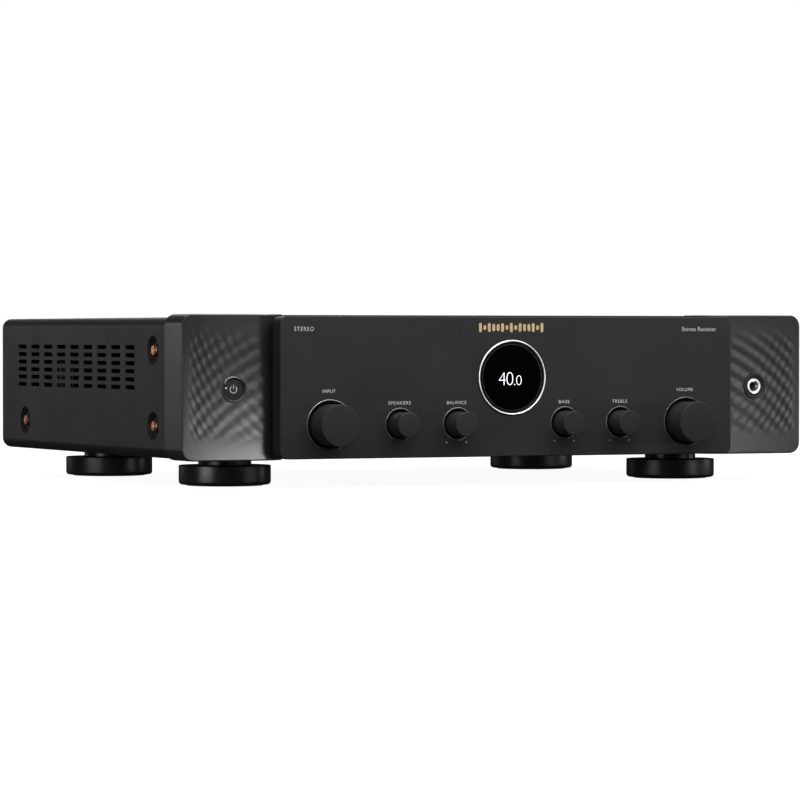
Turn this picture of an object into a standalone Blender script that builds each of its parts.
"""A slim stereo receiver, modelled as the pieces it comes apart into.

Metres, +Z up. The front looks towards -Y and the listener's right is +X. The origin lies
on the ground under the middle of the outer box: the knobs' faces are the front of that box
and the speaker terminals' caps are its back. Left and right are the listener's.
"""

import math

import bmesh
import bpy
from mathutils import Matrix, Vector

# Outer size
WIDTH = 0.442
DEPTH = 0.384
HEIGHT = 0.109
GAP = 0.0003  # between pieces that touch

# Places along Y, front to back
FRONT_Y = -DEPTH / 2
LARGE_KNOB_PROUD = 0.0165
SMALL_KNOB_PROUD = 0.0135
FASCIA_Y = FRONT_Y + LARGE_KNOB_PROUD
FASCIA_DEPTH = 0.0125
WING_Y = FASCIA_Y + 0.0136
WING_BACK_Y = WING_Y + 0.0294
COVER_BACK_Y = FASCIA_Y + 0.345
PANEL_Y = COVER_BACK_Y - 0.0015  # the rear panel's outer face
BACK_Y = DEPTH / 2

# Case
SHEET = 0.0012
COVER_HALF = 0.2204
COVER_LOW = 0.0186
COVER_HIGH = 0.1071
COVER_BEND = 0.0065
COVER_LIP = 0.015
FLOOR_LOW = COVER_LOW + SHEET + GAP
CHASSIS_HALF = 0.2150
CHASSIS_WALL = 0.030
BULKHEAD_HIGH = 0.100
PANEL_HALF = COVER_HALF - SHEET - GAP
PANEL_HIGH = COVER_HIGH - SHEET - GAP

# Vents: one slot size is used all over the case
SLOT_LENGTH = 0.0164
SLOT_WIDTH = 0.0026
SLOT_PITCH = 0.0251
SLOT_ROW_PITCH = 0.0051
SLOT_CUT = 0.002  # how far a vent's cutter reaches to each side of its sheet
SIDE_SLOTS = (9, 6)
SIDE_SLOTS_CENTRE = (FASCIA_Y + 0.2037, 0.0754)
TOP_SLOTS = (4, 6)
TOP_SLOT_ROW_PITCH = 0.0075
TOP_SLOTS_X = 0.110
TOP_SLOTS_Y = 0.045
FLOOR_SLOTS = (3, 4)
FLOOR_SLOTS_X = 0.060
FLOOR_SLOTS_Y = 0.030

# Front
FASCIA_HALF = 0.1608
FASCIA_LOW = 0.0188
FASCIA_HIGH = 0.1076
FASCIA_CORNER = 0.0045
FASCIA_PLATE = 0.0035
FASCIA_WALL = 0.003
WING_LOW = 0.0177
WING_CORNER = 0.0072
WING_WALL = 0.002
WING_INNER = 0.1498
WING_BEND_START = 0.172
WING_BEND = 0.030
SUBFRAME_HALF = WING_INNER - 2 * GAP
SUBFRAME_PLATE = 0.002
BOARD = 0.0016
LEG_RADIUS = 0.002

# Controls on the fascia
KNOB_Z = 0.0397
KNOB_REACH = 0.0045  # how far a knob goes behind the fascia's face
BORE_CLEARANCE = 0.0001
SHAFT_RADIUS = 0.003
BUSHING_RADIUS = 0.0045
LARGE_KNOB = {"radius": 0.01315, "proud": LARGE_KNOB_PROUD, "hole": 0.0143, "mouth": 0.0158, "sides": 28}
SMALL_KNOB = {"radius": 0.0078, "proud": SMALL_KNOB_PROUD, "hole": 0.0089, "mouth": 0.0102, "sides": 20}
KNOBS = {
    "input": (-0.1268, LARGE_KNOB),
    "speakers": (-0.0785, SMALL_KNOB),
    "balance": (-0.0383, SMALL_KNOB),
    "bass": (0.0383, SMALL_KNOB),
    "treble": (0.0785, SMALL_KNOB),
    "volume": (0.1268, LARGE_KNOB),
}
DISPLAY_Z = 0.069
BEZEL_RADIUS = 0.02395
BEZEL_INNER = 0.0223

# Controls on the wings
WING_CONTROL_X = 0.1863
WING_CONTROL_Z = 0.0622
RING_RADIUS = 0.0081
RING_INNER = 0.0071
BUTTON_RADIUS = 0.00685
BUTTON_TRAVEL = 0.0015
JACK_BUSHING = 0.0051
JACK_BORE = 0.0032

# Feet and side screws
FOOT_X = 0.1626
FOOT_FRONT_Y = FASCIA_Y + 0.0851
FOOT_BACK_Y = FASCIA_Y + 0.2903
FOOT_RADIUS = 0.0295
FOOT_DISC = 0.013
FOOT_NECK = 0.017
FOOT_ROUND = 0.0026
SCREW_SPOTS = {
    "front_upper": (FASCIA_Y + 0.0638, 0.0863),
    "front_lower": (FASCIA_Y + 0.0638, 0.0386),
    "rear_lower": (FASCIA_Y + 0.2990, 0.0380),
}
DIMPLE_RADIUS = 0.0088
DIMPLE_FLOOR = 0.0058
DIMPLE_DEPTH = 0.0026
SCREW_HEAD = 0.0043
SCREW_SHANK = 0.0019

# Inside
INSIDE_LOW = FLOOR_LOW + SHEET + GAP  # where pieces stand on the floor
STANDOFF_RADIUS = 0.003
TRANSFORMER_SPOT = (-0.172, 0.095)

# Rear terminals: the BODY sizes are half the width and height of what passes through the panel
PANEL_ROOM = 0.0005
TERMINAL_X = -0.060
TERMINAL_Z = 0.052
TERMINAL_BODY = (0.049, 0.020)
TERMINAL_PITCH = (0.026, 0.026)
TERMINAL_COLUMNS = ("b_left", "b_right", "a_left", "a_right")
CAP_RADIUS = 0.0064
CAP_FRONT_Y = PANEL_Y + 0.0055
POST_RADIUS = 0.0029
PHONO_X = 0.128
PHONO_Z = 0.052
PHONO_BODY = (0.055, 0.016)
PHONO_GRID = (6, 2)
PHONO_PITCH = (0.0195, 0.021)
DIGITAL_X = 0.066
DIGITAL_Z = 0.0905
DIGITAL_BODY = (0.096, 0.0085)
HDMI_COUNT = 7
HDMI_PITCH = 0.0195
INLET_X = -0.186
INLET_Z = 0.046
INLET_BODY = (0.0140, 0.0100)
ANTENNA_X = 0.192
ANTENNA_Z = 0.0905
ANTENNA_RADIUS = 0.0047
FLANGE = 0.0025  # thickness of the sockets' flanges outside the rear panel

AXES = {
    "+X": Matrix.Rotation(math.pi / 2, 4, "Y"),
    "-X": Matrix.Rotation(-math.pi / 2, 4, "Y"),
    "+Y": Matrix.Rotation(-math.pi / 2, 4, "X"),
    "-Y": Matrix.Rotation(math.pi / 2, 4, "X"),
    "+Z": Matrix.Identity(4),
}

for old in list(bpy.data.objects):
    bpy.data.objects.remove(old)

parts = bpy.data.collections.new("stereo_receiver")
cutters = bpy.data.collections.new("cutters")
for collection in (parts, cutters):
    bpy.context.scene.collection.children.link(collection)


def make_material(name, colour, roughness, metallic=0.0):
    material = bpy.data.materials.new(name)
    material.use_nodes = True
    shader = material.node_tree.nodes["Principled BSDF"]
    shader.inputs["Base Color"].default_value = (*colour, 1.0)
    shader.inputs["Roughness"].default_value = roughness
    shader.inputs["Metallic"].default_value = metallic
    return material


MATERIALS = {
    "case_paint": make_material("case_paint", (0.022, 0.022, 0.023), 0.55),
    "fascia_black": make_material("fascia_black", (0.020, 0.020, 0.021), 0.45, 0.3),
    "wing_black": make_material("wing_black", (0.026, 0.026, 0.027), 0.35, 0.2),
    "knob_black": make_material("knob_black", (0.018, 0.018, 0.019), 0.4, 0.4),
    "foot_black": make_material("foot_black", (0.015, 0.015, 0.016), 0.2),
    "chrome": make_material("chrome", (0.75, 0.75, 0.77), 0.12, 1.0),
    "display_glass": make_material("display_glass", (0.004, 0.004, 0.005), 0.05),
    "black_plastic": make_material("black_plastic", (0.02, 0.02, 0.02), 0.5),
    "zinc_steel": make_material("zinc_steel", (0.55, 0.56, 0.58), 0.35, 1.0),
    "copper_plated": make_material("copper_plated", (0.72, 0.36, 0.22), 0.3, 1.0),
    "brass_plated": make_material("brass_plated", (0.80, 0.62, 0.30), 0.25, 1.0),
    "aluminium": make_material("aluminium", (0.70, 0.71, 0.73), 0.4, 1.0),
    "circuit_board": make_material("circuit_board", (0.02, 0.10, 0.05), 0.45),
}


def place(name, mesh, collection):
    obj = bpy.data.objects.new(name, mesh)
    collection.objects.link(obj)
    return obj


def part(obj, name, material):
    """Turns a finished shape into a named part with its material."""
    obj.name = name
    obj.data.name = name
    obj.data.materials.clear()
    obj.data.materials.append(MATERIALS[material])
    for collection in list(obj.users_collection):
        collection.objects.unlink(obj)
    parts.objects.link(obj)
    obj.hide_render = False
    obj.display_type = "TEXTURED"
    return obj


def tool(obj):
    """Marks a shape as a helper that only cuts or joins."""
    obj.hide_render = True
    obj.display_type = "WIRE"
    return obj


def mesh_from(bm, name):
    mesh = bpy.data.meshes.new(name)
    bmesh.ops.recalc_face_normals(bm, faces=bm.faces)
    bm.to_mesh(mesh)
    bm.free()
    return mesh


def block(low, high, round_edges=None, radius=0.0, segments=4):
    """A box between two corners. round_edges is a test that says which of its edges get rounded."""
    low, high = Vector(low), Vector(high)
    bm = bmesh.new()
    bmesh.ops.create_cube(bm, size=1.0)
    bmesh.ops.scale(bm, vec=high - low, verts=bm.verts)
    bmesh.ops.translate(bm, vec=(low + high) / 2, verts=bm.verts)
    if round_edges:
        edges = [edge for edge in bm.edges if round_edges(edge)]
        bmesh.ops.bevel(bm, geom=edges, offset=radius, segments=segments, affect="EDGES", profile=0.5)
    return tool(place("block", mesh_from(bm, "block"), cutters))


def along(axis):
    """An edge test that picks the edges parallel to an axis, 0 for X, 1 for Y and 2 for Z."""
    return lambda edge: abs((edge.verts[0].co - edge.verts[1].co).normalized()[axis]) > 0.99


def rod(centre, radius, length, axis="+Z", sides=16, end_radius=None):
    """A cylinder or cone whose local +Z end is end_radius wide, centred on a point."""
    bm = bmesh.new()
    bmesh.ops.create_cone(
        bm,
        cap_ends=True,
        segments=sides,
        radius1=radius,
        radius2=radius if end_radius is None else end_radius,
        depth=length,
    )
    obj = tool(place("rod", mesh_from(bm, "rod"), cutters))
    obj.matrix_world = Matrix.Translation(centre) @ AXES[axis]
    smooth(obj)
    return obj


def pin(x, z, start, end, radius, sides=12):
    """A cylinder along Y between two depths."""
    return rod((x, (start + end) / 2, z), radius, end - start, "-Y", sides)


def turned(profile, origin, axis="+Z", sides=32):
    """A profile of (radius, height) points turned about an axis. It starts and ends on the axis."""
    mesh = bpy.data.meshes.new("turned")
    points = [(radius, 0.0, height) for radius, height in profile]
    mesh.from_pydata(points, [(i, i + 1) for i in range(len(points) - 1)], [])
    obj = tool(place("turned", mesh, cutters))
    obj.matrix_world = Matrix.Translation(origin) @ AXES[axis]
    screw = obj.modifiers.new("Turn", "SCREW")
    screw.steps = sides
    screw.render_steps = sides
    screw.use_merge_vertices = True
    screw.merge_threshold = 0.00001
    screw.use_smooth_shade = True
    return obj


def extruded(outline, low, high):
    """A flat outline in XY filled and extruded from one height to another, as a mesh."""
    curve = bpy.data.curves.new("outline", "CURVE")
    curve.dimensions = "2D"
    curve.fill_mode = "BOTH"
    curve.extrude = (high - low) / 2
    spline = curve.splines.new("POLY")
    spline.points.add(len(outline) - 1)
    for point, (x, y) in zip(spline.points, outline):
        point.co = (x, y, 0.0, 1.0)
    spline.use_cyclic_u = True
    drawn = place("outline", curve, cutters)
    drawn.location.z = (low + high) / 2
    bpy.context.view_layer.update()
    evaluated = drawn.evaluated_get(bpy.context.evaluated_depsgraph_get())
    bm = bmesh.new()
    bm.from_mesh(bpy.data.meshes.new_from_object(evaluated))
    bmesh.ops.remove_doubles(bm, verts=bm.verts, dist=0.00001)
    obj = tool(place("extruded", mesh_from(bm, "extruded"), cutters))
    obj.matrix_world = drawn.matrix_world.copy()
    bpy.data.objects.remove(drawn)
    return obj


def smooth(obj):
    obj.data.shade_smooth()
    obj.data.set_sharp_from_angle(angle=math.radians(35))


def boolean(target, helpers, operation):
    for helper in helpers:
        modifier = target.modifiers.new(operation.title(), "BOOLEAN")
        modifier.operation = operation
        modifier.solver = "EXACT"
        modifier.object = helper
    return target


def cut(target, *helpers):
    return boolean(target, helpers, "DIFFERENCE")


def join(target, *helpers):
    return boolean(target, helpers, "UNION")


def array(obj, count, step):
    modifier = obj.modifiers.new("Array", "ARRAY")
    modifier.count = count
    modifier.use_relative_offset = False
    modifier.use_constant_offset = True
    modifier.constant_offset_displace = step
    return obj


def grid(obj, counts, first_step, second_step):
    """Repeats a helper in two directions, its first copy at the low corner."""
    array(obj, counts[0], first_step)
    array(obj, counts[1], second_step)
    return obj


def first_of(centre, count, pitch):
    """Where the first of a centred row lies."""
    return centre - pitch * (count - 1) / 2


# Case -------------------------------------------------------------------------------


def side_slot_cutter(side):
    y = first_of(SIDE_SLOTS_CENTRE[0], SIDE_SLOTS[0], SLOT_PITCH)
    z = first_of(SIDE_SLOTS_CENTRE[1], SIDE_SLOTS[1], SLOT_ROW_PITCH)
    x = side * (COVER_HALF - SHEET / 2)
    slot = block(
        (x - SLOT_CUT, y - SLOT_LENGTH / 2, z - SLOT_WIDTH / 2),
        (x + SLOT_CUT, y + SLOT_LENGTH / 2, z + SLOT_WIDTH / 2),
    )
    return grid(slot, SIDE_SLOTS, (0, SLOT_PITCH, 0), (0, 0, SLOT_ROW_PITCH))


def flat_slot_cutter(centre_x, centre_y, height, counts, row_pitch):
    """Slots along Y in a level sheet: counts along Y and X."""
    y = first_of(centre_y, counts[0], SLOT_PITCH)
    x = first_of(centre_x, counts[1], row_pitch)
    slot = block(
        (x - SLOT_WIDTH / 2, y - SLOT_LENGTH / 2, height - SLOT_CUT),
        (x + SLOT_WIDTH / 2, y + SLOT_LENGTH / 2, height + SLOT_CUT),
    )
    return grid(slot, counts, (0, SLOT_PITCH, 0), (row_pitch, 0, 0))


def add_dimple(cover, side, y, z):
    """A pressed dimple, so that a screw's head doesn't stand proud of the side."""
    outward = "+X" if side > 0 else "-X"
    face = side * COVER_HALF
    boss_end = CHASSIS_HALF + GAP
    boss = COVER_HALF - 0.0002 - boss_end
    sides = 14
    rim = 0.0004
    over = 0.0004
    cup = rod((side * (boss_end + boss / 2), y, z), DIMPLE_RADIUS + rim, boss, outward, sides)
    slope = (DIMPLE_RADIUS - DIMPLE_FLOOR) / DIMPLE_DEPTH
    hollow = rod(
        (face - side * (DIMPLE_DEPTH - over) / 2, y, z),
        DIMPLE_FLOOR,
        DIMPLE_DEPTH + over,
        outward,
        sides,
        end_radius=DIMPLE_RADIUS + slope * over,
    )
    hole_depth = 0.006
    hole = rod((face - side * hole_depth / 2, y, z), SCREW_SHANK + GAP, hole_depth, outward, 8)
    join(cover, cup)
    cut(cover, hollow, hole)


def make_top_cover():
    front = WING_BACK_Y + GAP
    over = 0.01
    cover = block(
        (-COVER_HALF, front, COVER_LOW), (COVER_HALF, COVER_BACK_Y, COVER_HIGH), along(1), COVER_BEND
    )
    inside = block(
        (-COVER_HALF + SHEET, front - over, COVER_LOW + SHEET),
        (COVER_HALF - SHEET, COVER_BACK_Y + over, COVER_HIGH - SHEET),
        along(1),
        COVER_BEND - SHEET,
    )
    mouth = block(
        (-COVER_HALF + COVER_LIP, front - over, COVER_LOW - over),
        (COVER_HALF - COVER_LIP, COVER_BACK_Y + over, COVER_LOW + over),
    )
    cut(cover, inside, mouth)
    for side in (-1, 1):
        cut(cover, side_slot_cutter(side))
        cut(
            cover,
            flat_slot_cutter(
                side * TOP_SLOTS_X, TOP_SLOTS_Y, COVER_HIGH - SHEET / 2, TOP_SLOTS, TOP_SLOT_ROW_PITCH
            ),
        )
        for y, z in SCREW_SPOTS.values():
            add_dimple(cover, side, y, z)
    part(cover, "top_cover", "case_paint")


def make_bottom_chassis():
    """The floor, two side walls that take the cover's screws, and the bulkhead behind the front."""
    front = WING_BACK_Y + GAP
    back = PANEL_Y - SHEET - GAP
    over = 0.01
    corner_post = 0.034
    chassis = block((-CHASSIS_HALF, front, FLOOR_LOW), (CHASSIS_HALF, back, BULKHEAD_HIGH))
    room = block(
        (-CHASSIS_HALF + SHEET, front + SHEET, FLOOR_LOW + SHEET),
        (CHASSIS_HALF - SHEET, back + over, BULKHEAD_HIGH + over),
    )
    above_walls = block(
        (-CHASSIS_HALF - over, front + corner_post, FLOOR_LOW + CHASSIS_WALL),
        (CHASSIS_HALF + over, back + over, BULKHEAD_HIGH + over),
    )
    cut(chassis, room, above_walls)
    middle = front + SHEET / 2
    through = 0.004
    cable_half = (0.055, 0.012)
    cable_z = 0.074
    hatch = 0.011
    cut(
        chassis,
        block(
            (-cable_half[0], middle - through, cable_z - cable_half[1]),
            (cable_half[0], middle + through, cable_z + cable_half[1]),
        ),
    )
    for side in (-1, 1):
        x, z = side * WING_CONTROL_X, WING_CONTROL_Z
        cut(chassis, block((x - hatch, middle - through, z - hatch), (x + hatch, middle + through, z + hatch)))
        cut(
            chassis,
            flat_slot_cutter(
                side * FLOOR_SLOTS_X, FLOOR_SLOTS_Y, FLOOR_LOW + SHEET / 2, FLOOR_SLOTS, TOP_SLOT_ROW_PITCH * 2
            ),
        )
        for y, z in SCREW_SPOTS.values():
            cut(chassis, rod((side * CHASSIS_HALF, y, z), SCREW_SHANK + 0.0003, 0.008, "+X", 8))
    part(chassis, "bottom_chassis", "zinc_steel")


def make_rear_panel():
    panel = block(
        (-PANEL_HALF, PANEL_Y - SHEET, FLOOR_LOW),
        (PANEL_HALF, PANEL_Y, PANEL_HIGH),
        along(1),
        COVER_BEND,
    )
    through = 0.005
    windows = [
        (TERMINAL_X, TERMINAL_Z, *TERMINAL_BODY),
        (PHONO_X, PHONO_Z, *PHONO_BODY),
        (DIGITAL_X, DIGITAL_Z, *DIGITAL_BODY),
        (INLET_X, INLET_Z, *INLET_BODY),
        (ANTENNA_X, ANTENNA_Z, ANTENNA_RADIUS, ANTENNA_RADIUS),
    ]
    for x, z, half_width, half_height in windows:
        half = (half_width + PANEL_ROOM, half_height + PANEL_ROOM)
        cut(
            panel,
            block((x - half[0], PANEL_Y - through, z - half[1]), (x + half[0], PANEL_Y + through, z + half[1])),
        )
    part(panel, "rear_panel", "case_paint")


# Front ------------------------------------------------------------------------------


def chamfered_hole(x, z, hole, mouth, sides):
    """A through cutter with a chamfered mouth at the fascia's face."""
    over = 0.001
    through = 0.008
    chamfer = mouth - hole
    profile = [(0, over), (mouth + over, over), (hole, -chamfer), (hole, -through), (0, -through)]
    return turned(profile, (x, FASCIA_Y, z), "-Y", sides)


def make_front_fascia():
    fascia = block(
        (-FASCIA_HALF, FASCIA_Y, FASCIA_LOW),
        (FASCIA_HALF, FASCIA_Y + FASCIA_DEPTH, FASCIA_HIGH),
        along(1),
        FASCIA_CORNER,
    )
    hollow = block(
        (-FASCIA_HALF + FASCIA_WALL, FASCIA_Y + FASCIA_PLATE, FASCIA_LOW + FASCIA_WALL),
        (FASCIA_HALF - FASCIA_WALL, FASCIA_Y + 0.02, FASCIA_HIGH - FASCIA_WALL),
    )
    cut(fascia, hollow)
    for x, knob in KNOBS.values():
        cut(fascia, chamfered_hole(x, KNOB_Z, knob["hole"], knob["mouth"], knob["sides"] - 4))
    cut(fascia, rod((0, FASCIA_Y, DISPLAY_Z), BEZEL_RADIUS + GAP, 0.02, "-Y", 30))
    part(fascia, "front_fascia", "fascia_black")


def wing_outline(side, inset=0.0, overshoot=0.0):
    """The wing seen from above: a flat face that bends back as it passes behind the fascia."""
    turns = 6
    start = WING_BEND_START
    reach = start - WING_INNER + overshoot
    last = math.asin(reach / WING_BEND)
    radius = WING_BEND - inset
    centre_y = WING_Y + WING_BEND
    points = [(WIDTH / 2 - inset, WING_BACK_Y + overshoot), (WIDTH / 2 - inset, WING_Y + inset)]
    for i in range(turns + 1):
        angle = last * i / turns
        points.append((start - radius * math.sin(angle), centre_y - radius * math.cos(angle)))
    points.append((points[-1][0], WING_BACK_Y + overshoot))
    return [(side * x, y) for x, y in points]


def wing_limit(side, inset=0.0):
    """The box whose rounded outer corners a wing and its hollow are trimmed to."""
    over = 0.01

    def at_outer_end(edge):
        return along(1)(edge) and abs(edge.verts[0].co.x) > WING_CONTROL_X

    low_x, high_x = sorted((side * (WING_INNER - 2 * over), side * (WIDTH / 2 - inset)))
    return block(
        (low_x, WING_Y - over, WING_LOW + inset),
        (high_x, WING_BACK_Y + over, HEIGHT - inset),
        at_outer_end,
        WING_CORNER - inset,
    )


def make_wing(side, name, bore):
    wing = extruded(wing_outline(side), WING_LOW, HEIGHT)
    boolean(wing, [wing_limit(side)], "INTERSECT")
    hollow = extruded(
        wing_outline(side, WING_WALL, overshoot=0.004), WING_LOW + WING_WALL, HEIGHT - WING_WALL
    )
    boolean(hollow, [wing_limit(side, WING_WALL)], "INTERSECT")
    cut(wing, hollow, rod((side * WING_CONTROL_X, WING_Y, WING_CONTROL_Z), bore, 0.02, "-Y", 22))
    part(wing, name, "wing_black")


def make_front_subframe():
    """A channel between the wings: it carries the fascia and the rotary controls."""
    front = FASCIA_Y + FASCIA_DEPTH + GAP
    step = 0.0005
    over = 0.01
    low, high = WING_LOW + step, HEIGHT - step
    frame = block((-SUBFRAME_HALF, front, low), (SUBFRAME_HALF, WING_BACK_Y, high))
    hollow = block(
        (-SUBFRAME_HALF - over, front + SUBFRAME_PLATE, low + SUBFRAME_PLATE),
        (SUBFRAME_HALF + over, WING_BACK_Y + over, high - SUBFRAME_PLATE),
    )
    cut(frame, hollow)
    for x, _ in KNOBS.values():
        cut(frame, rod((x, front, KNOB_Z), BUSHING_RADIUS + GAP, over, "-Y", 12))
    ribbon = (0.020, 0.006)
    slot = block(
        (-ribbon[0], front - over, DISPLAY_Z - ribbon[1]),
        (ribbon[0], front + over, DISPLAY_Z + ribbon[1]),
    )
    cut(frame, slot)
    part(frame, "front_subframe", "black_plastic")


def make_display():
    proud = 0.0008
    bezel_depth = 0.0058
    sides = 30
    profile = [(0, 0), (BEZEL_RADIUS, 0), (BEZEL_RADIUS, -bezel_depth), (0, -bezel_depth)]
    bezel = turned(profile, (0, FASCIA_Y - proud, DISPLAY_Z), "-Y", sides)
    cut(bezel, rod((0, FASCIA_Y, DISPLAY_Z), BEZEL_INNER, 0.03, "-Y", sides))
    part(bezel, "display_bezel", "chrome")
    glass_front = FASCIA_Y - 0.0002
    glass = 0.002
    window = pin(0, DISPLAY_Z, glass_front, glass_front + glass, BEZEL_INNER - GAP, sides)
    part(window, "display_window", "display_glass")
    puck_front = glass_front + glass + GAP
    board_y = FASCIA_Y + 0.0075
    puck = pin(0, DISPLAY_Z, puck_front, board_y + BOARD / 2, 0.0205, 20)
    half = (0.029, 0.027)
    module = block((-half[0], board_y, DISPLAY_Z - half[1]), (half[0], board_y + BOARD, DISPLAY_Z + half[1]))
    join(module, puck)
    leg_end = FASCIA_Y + FASCIA_DEPTH
    leg_in = 0.004
    for x_sign in (-1, 1):
        for z_sign in (-1, 1):
            x = x_sign * (half[0] - leg_in)
            z = DISPLAY_Z + z_sign * (half[1] - leg_in)
            join(module, pin(x, z, board_y + BOARD / 2, leg_end, LEG_RADIUS, 8))
    part(module, "display_module", "black_plastic")


def make_rotary_control(name, x, knob):
    """A knob on its D-shaped shaft, and the encoder whose bushing holds the shaft."""
    radius, proud, sides = knob["radius"], knob["proud"], knob["sides"]
    edge = 0.0006
    length = proud + KNOB_REACH
    bore = SHAFT_RADIUS + BORE_CLEARANCE
    bore_top = -0.005
    profile = [
        (0, 0),
        (radius - edge, 0),
        (radius, -edge),
        (radius, -length),
        (bore, -length),
        (bore, bore_top),
        (0, bore_top),
    ]
    face_y = FASCIA_Y - proud
    part(turned(profile, (x, face_y, KNOB_Z), "-Y", sides), f"{name}_knob", "knob_black")

    encoder_front = FASCIA_Y + FASCIA_DEPTH + 2 * GAP + SUBFRAME_PLATE
    encoder_depth = 0.009
    shaft_front = face_y - bore_top + GAP
    shaft_back = encoder_front + encoder_depth - 0.0015
    shaft = pin(x, KNOB_Z, shaft_front, shaft_back, SHAFT_RADIUS)
    flat_z = KNOB_Z + SHAFT_RADIUS * 0.55
    flat_end = face_y + length - 0.002
    over = 0.01
    cut(shaft, block((x - over, shaft_front - over, flat_z), (x + over, flat_end, flat_z + over)))
    part(shaft, f"{name}_shaft", "aluminium")

    half = 0.0065
    body = block(
        (x - half, encoder_front, KNOB_Z - half), (x + half, encoder_front + encoder_depth, KNOB_Z + half)
    )
    bushing_front = FASCIA_Y + 0.0095
    bushing = pin(x, KNOB_Z, bushing_front, encoder_front + 0.001, BUSHING_RADIUS)
    lug_y, lug_reach, lug = encoder_front + 0.002, 0.004, 0.001
    lugs = block(
        (x - half + lug, lug_y, KNOB_Z - half - lug_reach),
        (x + half - lug, lug_y + lug, KNOB_Z),
    )
    join(body, bushing, lugs)
    hole_back = encoder_front + encoder_depth - 0.0008
    hole_front = bushing_front - 0.002
    cut(body, pin(x, KNOB_Z, hole_front, hole_back, bore))
    part(body, f"{name}_encoder", "zinc_steel")


def make_power_button():
    x, z = -WING_CONTROL_X, WING_CONTROL_Z
    ring_face = WING_Y - 0.0002
    ring_depth = 0.006
    ring = turned(
        [(0, 0), (RING_RADIUS, 0), (RING_RADIUS, -ring_depth), (0, -ring_depth)], (x, ring_face, z), "-Y", 22
    )
    cut(ring, rod((x, ring_face, z), RING_INNER, 0.03, "-Y", 22))
    part(ring, "power_button_ring", "chrome")

    button_face = WING_Y + 0.0008
    cap_depth = 0.0055
    stem = 0.003
    stem_length = 0.012
    soft = 0.0005
    profile = [
        (0, 0),
        (BUTTON_RADIUS - soft, 0),
        (BUTTON_RADIUS, -soft),
        (BUTTON_RADIUS, -cap_depth),
        (stem, -cap_depth),
        (stem, -stem_length),
        (0, -stem_length),
    ]
    button = turned(profile, (x, button_face, z), "-Y", 20)
    part(button, "power_button", "black_plastic")

    switch_front = button_face + stem_length + BUTTON_TRAVEL + 0.0004
    half = 0.006
    body_depth = 0.005
    body = block((x - half, switch_front, z - half), (x + half, switch_front + body_depth, z + half))
    board_y = switch_front + body_depth - BOARD / 2
    board_half = (0.016, 0.012)
    board = block(
        (x - board_half[0], board_y, z - board_half[1]), (x + board_half[0], board_y + BOARD, z + board_half[1])
    )
    join(body, board)
    leg_front = WING_Y + WING_WALL + GAP
    for leg_x in (x - 0.0135, x + 0.0135):
        join(body, pin(leg_x, z, leg_front, board_y + BOARD / 2, LEG_RADIUS, 8))
    part(body, "power_switch", "black_plastic")


def make_headphone_jack():
    x, z = WING_CONTROL_X, WING_CONTROL_Z
    face = WING_Y - 0.0002
    depth = 0.005
    ring = turned([(0, 0), (RING_RADIUS, 0), (RING_RADIUS, -depth), (0, -depth)], (x, face, z), "-Y", 22)
    cut(ring, rod((x, face, z), JACK_BUSHING + GAP, 0.03, "-Y", 18))
    part(ring, "headphone_ring", "black_plastic")

    bushing_face = WING_Y + 0.0002
    body_front = WING_Y + 0.0052
    body_back = WING_BACK_Y + 0.0055
    half = 0.0075
    jack = block((x - half, body_front, z - half), (x + half, body_back, z + half))
    join(jack, pin(x, z, bushing_face, body_front + 0.001, JACK_BUSHING, 18))
    bore_back = body_back - 0.0015
    bore_front = bushing_face - 0.002
    cut(jack, pin(x, z, bore_front, bore_back, JACK_BORE, 16))
    part(jack, "headphone_jack", "chrome")


# Feet and fasteners -----------------------------------------------------------------


def make_foot(name, x, y):
    top = FLOOR_LOW - GAP
    steps = 2
    profile = [(0, top), (FOOT_NECK, top), (FOOT_NECK, FOOT_DISC), (FOOT_RADIUS, FOOT_DISC)]
    for i in range(steps + 1):
        angle = math.pi / 2 * i / steps
        profile.append(
            (
                FOOT_RADIUS - FOOT_ROUND + FOOT_ROUND * math.cos(angle),
                FOOT_ROUND - FOOT_ROUND * math.sin(angle),
            )
        )
    profile.append((0, 0))
    part(turned(profile, (x, y, 0), "+Z", 24), name, "foot_black")


def make_side_screw(side, name, y, z):
    """A pan head in its dimple, on a shank that goes into the chassis wall."""
    head_height = 0.0021
    seat = COVER_HALF - DIMPLE_DEPTH + GAP
    shank_length = 0.0075
    profile = [
        (0, head_height),
        (SCREW_HEAD * 0.6, head_height),
        (SCREW_HEAD, head_height * 0.45),
        (SCREW_HEAD, 0),
        (SCREW_SHANK, 0),
        (SCREW_SHANK, -shank_length),
        (0, -shank_length),
    ]
    axis = "+X" if side > 0 else "-X"
    screw = turned(profile, (side * seat, y, z), axis, 12)
    long, short, depth = 0.0021, 0.0005, 0.0012
    top_x = side * (seat + head_height)
    for half_y, half_z in ((long, short), (short, long)):
        cut(screw, block((top_x - depth, y - half_y, z - half_z), (top_x + depth, y + half_y, z + half_z)))
    part(screw, name, "copper_plated")


# Rear terminals ---------------------------------------------------------------------


def terminal_spots():
    """Name, x and z of each speaker terminal, plus above minus."""
    spots = []
    for column, name in enumerate(TERMINAL_COLUMNS):
        x = first_of(TERMINAL_X, len(TERMINAL_COLUMNS), TERMINAL_PITCH[0]) + column * TERMINAL_PITCH[0]
        for sign, label in ((1, "plus"), (-1, "minus")):
            spots.append((f"{name}_{label}", x, TERMINAL_Z + sign * TERMINAL_PITCH[1] / 2))
    return spots


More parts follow.
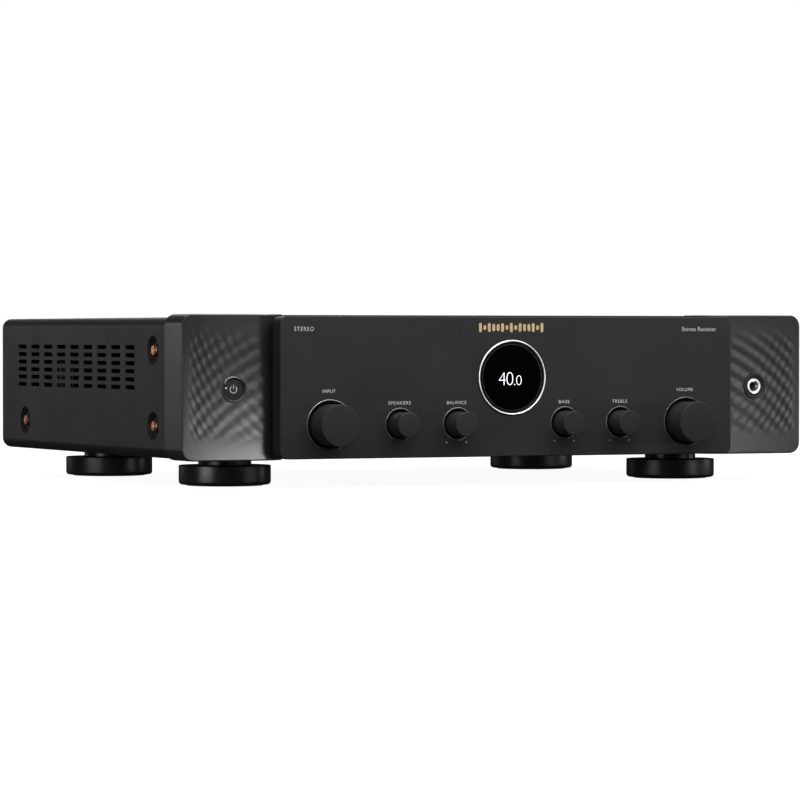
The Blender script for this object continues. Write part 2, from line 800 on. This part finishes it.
def make_speaker_terminals():
    half = (0.054, 0.027)
    plate_y = PANEL_Y + GAP
    plate = block(
        (TERMINAL_X - half[0], plate_y, TERMINAL_Z - half[1]),
        (TERMINAL_X + half[0], plate_y + FLANGE, TERMINAL_Z + half[1]),
    )
    inner = block(
        (TERMINAL_X - TERMINAL_BODY[0], PANEL_Y - 0.008, TERMINAL_Z - TERMINAL_BODY[1]),
        (TERMINAL_X + TERMINAL_BODY[0], plate_y + 0.001, TERMINAL_Z + TERMINAL_BODY[1]),
    )
    join(plate, inner)
    bore = POST_RADIUS + GAP
    plug_hole = 0.002
    roof_depth = 0.0035
    length = BACK_Y - CAP_FRONT_Y
    roof = length - roof_depth
    post_start = plate_y + FLANGE / 2
    post_end = BACK_Y - roof_depth - 0.001
    for name, x, z in terminal_spots():
        join(plate, pin(x, z, post_start, post_end, POST_RADIUS, 10))
        profile = [(0, length), (CAP_RADIUS, length), (CAP_RADIUS, 0), (bore, 0), (bore, roof), (0, roof)]
        cap = turned(profile, (x, CAP_FRONT_Y, z), "+Y", 16)
        cut(cap, pin(x, z, BACK_Y - 2 * roof_depth, BACK_Y + roof_depth, plug_hole, 8))
        part(cap, f"speaker_{name}_cap", "brass_plated")
    part(plate, "speaker_terminal_block", "black_plastic")


def make_phono_sockets():
    """Pairs of line sockets on one plate: a plug's collar goes over each sleeve."""
    half = (0.060, 0.021)
    plate_y = PANEL_Y + GAP
    sockets = block(
        (PHONO_X - half[0], plate_y, PHONO_Z - half[1]),
        (PHONO_X + half[0], plate_y + FLANGE, PHONO_Z + half[1]),
    )
    inner = block(
        (PHONO_X - PHONO_BODY[0], PANEL_Y - 0.010, PHONO_Z - PHONO_BODY[1]),
        (PHONO_X + PHONO_BODY[0], plate_y + 0.001, PHONO_Z + PHONO_BODY[1]),
    )
    join(sockets, inner)
    x = first_of(PHONO_X, PHONO_GRID[0], PHONO_PITCH[0])
    z = first_of(PHONO_Z, PHONO_GRID[1], PHONO_PITCH[1])
    sleeve_start = plate_y + FLANGE / 2
    sleeve_end = plate_y + FLANGE + 0.0085
    sleeve_radius, contact_radius, contact_depth = 0.00415, 0.0016, 0.007
    for column in range(PHONO_GRID[0]):
        for row in range(PHONO_GRID[1]):
            spot = (x + column * PHONO_PITCH[0], z + row * PHONO_PITCH[1])
            join(sockets, pin(*spot, sleeve_start, sleeve_end, sleeve_radius, 10))
            cut(sockets, pin(*spot, sleeve_end - contact_depth, sleeve_end + 0.001, contact_radius, 6))
    part(sockets, "phono_socket_block", "black_plastic")


def socket_with_tongue(x, half, tongue_half, depth, face):
    """The cutter and the contact tongue of a flat digital socket."""
    hole = block(
        (x - half[0], face - depth, DIGITAL_Z - half[1]),
        (x + half[0], face + 0.002, DIGITAL_Z + half[1]),
    )
    tongue = block(
        (x - tongue_half[0], face - depth - 0.001, DIGITAL_Z - tongue_half[1]),
        (x + tongue_half[0], face - 0.002, DIGITAL_Z + tongue_half[1]),
    )
    return hole, tongue


def make_digital_sockets():
    """A row of video sockets, then one USB and one network socket, on one shield."""
    face = PANEL_Y + 0.0015
    depth = 0.0205
    body = block(
        (DIGITAL_X - DIGITAL_BODY[0], face - depth, DIGITAL_Z - DIGITAL_BODY[1]),
        (DIGITAL_X + DIGITAL_BODY[0], face, DIGITAL_Z + DIGITAL_BODY[1]),
    )
    first = DIGITAL_X - DIGITAL_BODY[0] + 0.0125
    for index in range(HDMI_COUNT):
        hole, tongue = socket_with_tongue(
            first + index * HDMI_PITCH, (0.0071, 0.0023), (0.0055, 0.0006), 0.010, face
        )
        cut(body, hole)
        join(body, tongue)
    usb_x = first + HDMI_COUNT * HDMI_PITCH
    hole, tongue = socket_with_tongue(usb_x, (0.0065, 0.0027), (0.0056, 0.0009), 0.012, face)
    cut(body, hole)
    join(body, tongue)
    network_x = usb_x + HDMI_PITCH
    network_half, network_low, network_high, network_depth = 0.006, 0.0045, 0.0040, 0.014
    cut(
        body,
        block(
            (network_x - network_half, face - network_depth, DIGITAL_Z - network_low),
            (network_x + network_half, face + 0.002, DIGITAL_Z + network_high),
        ),
    )
    part(body, "digital_socket_block", "zinc_steel")


def make_antenna_socket():
    plate_y = PANEL_Y + GAP
    half = 0.010
    plate = block(
        (ANTENNA_X - half, plate_y, ANTENNA_Z - half), (ANTENNA_X + half, plate_y + FLANGE, ANTENNA_Z + half)
    )
    back = PANEL_Y - 0.008
    end = plate_y + FLANGE + 0.009
    contact_radius, contact_depth = 0.0016, 0.006
    join(plate, pin(ANTENNA_X, ANTENNA_Z, back, end, ANTENNA_RADIUS, 16))
    cut(plate, pin(ANTENNA_X, ANTENNA_Z, end - contact_depth, end + contact_depth, contact_radius, 10))
    part(plate, "antenna_socket", "brass_plated")


def make_mains_inlet():
    plate_y = PANEL_Y + GAP
    flange_half = (0.0245, 0.0125)
    inlet = block(
        (INLET_X - flange_half[0], plate_y, INLET_Z - flange_half[1]),
        (INLET_X + flange_half[0], plate_y + FLANGE, INLET_Z + flange_half[1]),
        along(1),
        0.004,
        3,
    )
    back = PANEL_Y - 0.020
    body = block(
        (INLET_X - INLET_BODY[0], back, INLET_Z - INLET_BODY[1]),
        (INLET_X + INLET_BODY[0], plate_y + 0.001, INLET_Z + INLET_BODY[1]),
    )
    join(inlet, body)
    face = plate_y + FLANGE
    cavity_half = (0.0120, 0.0078)
    cavity_floor = face - 0.0165

    def at_upper_corner(edge):
        return along(1)(edge) and edge.verts[0].co.z > INLET_Z

    cavity = block(
        (INLET_X - cavity_half[0], cavity_floor, INLET_Z - cavity_half[1]),
        (INLET_X + cavity_half[0], face + 0.002, INLET_Z + cavity_half[1]),
        at_upper_corner,
        0.004,
        1,
    )
    cut(inlet, cavity)
    pin_half = (0.001, 0.002)
    for x in (INLET_X - 0.007, INLET_X + 0.007):
        blade = block(
            (x - pin_half[0], cavity_floor - 0.001, INLET_Z - pin_half[1]),
            (x + pin_half[0], face - 0.003, INLET_Z + pin_half[1]),
        )
        join(inlet, blade)
    part(inlet, "mains_inlet", "black_plastic")


# Inside -----------------------------------------------------------------------------


def centred(x, y, half, low, high, round_edges=None, radius=0.0, segments=3):
    """A box round an upright line, between two heights."""
    corners = (x - half[0], y - half[1], low), (x + half[0], y + half[1], high)
    return block(*corners, round_edges, radius, segments)


def standing(x, y, low, high, radius, sides):
    """An upright cylinder between two heights."""
    return rod((x, y, (low + high) / 2), radius, high - low, "+Z", sides)


def make_power_transformer():
    """Laminated core and winding on a bracket, beside the side vents at the rear left."""
    x, y, low = TRANSFORMER_SPOT[0], TRANSFORMER_SPOT[1], INSIDE_LOW
    bracket = centred(x, y, (0.036, 0.034), low, low + 0.002)
    core = centred(x, y, (0.033, 0.024), low + 0.001, low + 0.056)
    winding = centred(x, y, (0.022, 0.033), low + 0.012, low + 0.045, along(2), 0.008)
    part(join(bracket, core, winding), "power_transformer", "zinc_steel")


def make_heatsink():
    """A comb of upright fins across the middle of the case, under the top vents."""
    half, front, back, top = 0.085, 0.010, 0.055, 0.088
    sink = block((-half, front, INSIDE_LOW), (half, back, top))
    fins = 14
    pitch = 2 * half / fins
    fin = 0.0025
    web, base = 0.007, 0.004
    space = block((-half + fin, front + web, INSIDE_LOW + base), (-half + pitch, back + 0.01, top + 0.01))
    cut(sink, array(space, fins - 1, (pitch, 0, 0)))
    part(sink, "heatsink", "aluminium")


def make_amplifier_board():
    """The board in front of the heatsink, with its reservoir capacitors, coils and relays."""
    board_z = INSIDE_LOW + 0.008
    half = (0.130, 0.0515)
    centre_y = -0.0535
    seat = board_z + BOARD / 2
    board = centred(0, centre_y, half, board_z, board_z + BOARD)
    for x_sign in (-1, 1):
        for y_sign in (-1, 1):
            x, y = x_sign * (half[0] - 0.008), centre_y + y_sign * (half[1] - 0.008)
            join(board, standing(x, y, INSIDE_LOW, seat, STANDOFF_RADIUS, 8))
    for x in (-0.034, 0.0, 0.034):
        join(board, standing(x, -0.055, seat, board_z + 0.045, 0.015, 16))
    for x in (-0.105, -0.085, 0.085, 0.105):
        join(board, standing(x, -0.040, seat, board_z + 0.026, 0.008, 10))
        join(board, centred(x, -0.0825, (0.008, 0.0075), seat, board_z + 0.018))
    part(board, "amplifier_board", "circuit_board")


def make_digital_board():
    """The board that the digital sockets stand on, held by the rear panel and two posts."""
    board_z = DIGITAL_Z - DIGITAL_BODY[1] - GAP - BOARD
    half = DIGITAL_BODY[0] + 0.002
    front, back = 0.100, PANEL_Y - SHEET - GAP
    board = block((DIGITAL_X - half, front, board_z), (DIGITAL_X + half, back, board_z + BOARD))
    seat = board_z + BOARD / 2
    for x in (DIGITAL_X - half + 0.008, DIGITAL_X + half - 0.008):
        join(board, standing(x, front + 0.008, INSIDE_LOW, seat, STANDOFF_RADIUS, 8))
    join(board, centred(DIGITAL_X, front + 0.024, (0.018, 0.016), seat, board_z + 0.010))
    part(board, "digital_board", "circuit_board")


def main():
    make_top_cover()
    make_bottom_chassis()
    make_rear_panel()
    make_front_fascia()
    make_front_subframe()
    make_wing(-1, "left_wing", RING_RADIUS + GAP)
    make_wing(1, "right_wing", RING_RADIUS + GAP)
    make_display()
    for name, (x, knob) in KNOBS.items():
        make_rotary_control(name, x, knob)
    make_power_button()
    make_headphone_jack()
    for side, side_name in ((-1, "left"), (1, "right")):
        make_foot(f"{side_name}_front_foot", side * FOOT_X, FOOT_FRONT_Y)
        make_foot(f"{side_name}_rear_foot", side * FOOT_X, FOOT_BACK_Y)
        for spot, (y, z) in SCREW_SPOTS.items():
            make_side_screw(side, f"{side_name}_{spot}_screw", y, z)
    make_speaker_terminals()
    make_phono_sockets()
    make_digital_sockets()
    make_antenna_socket()
    make_mains_inlet()
    make_power_transformer()
    make_heatsink()
    make_amplifier_board()
    make_digital_board()


main()
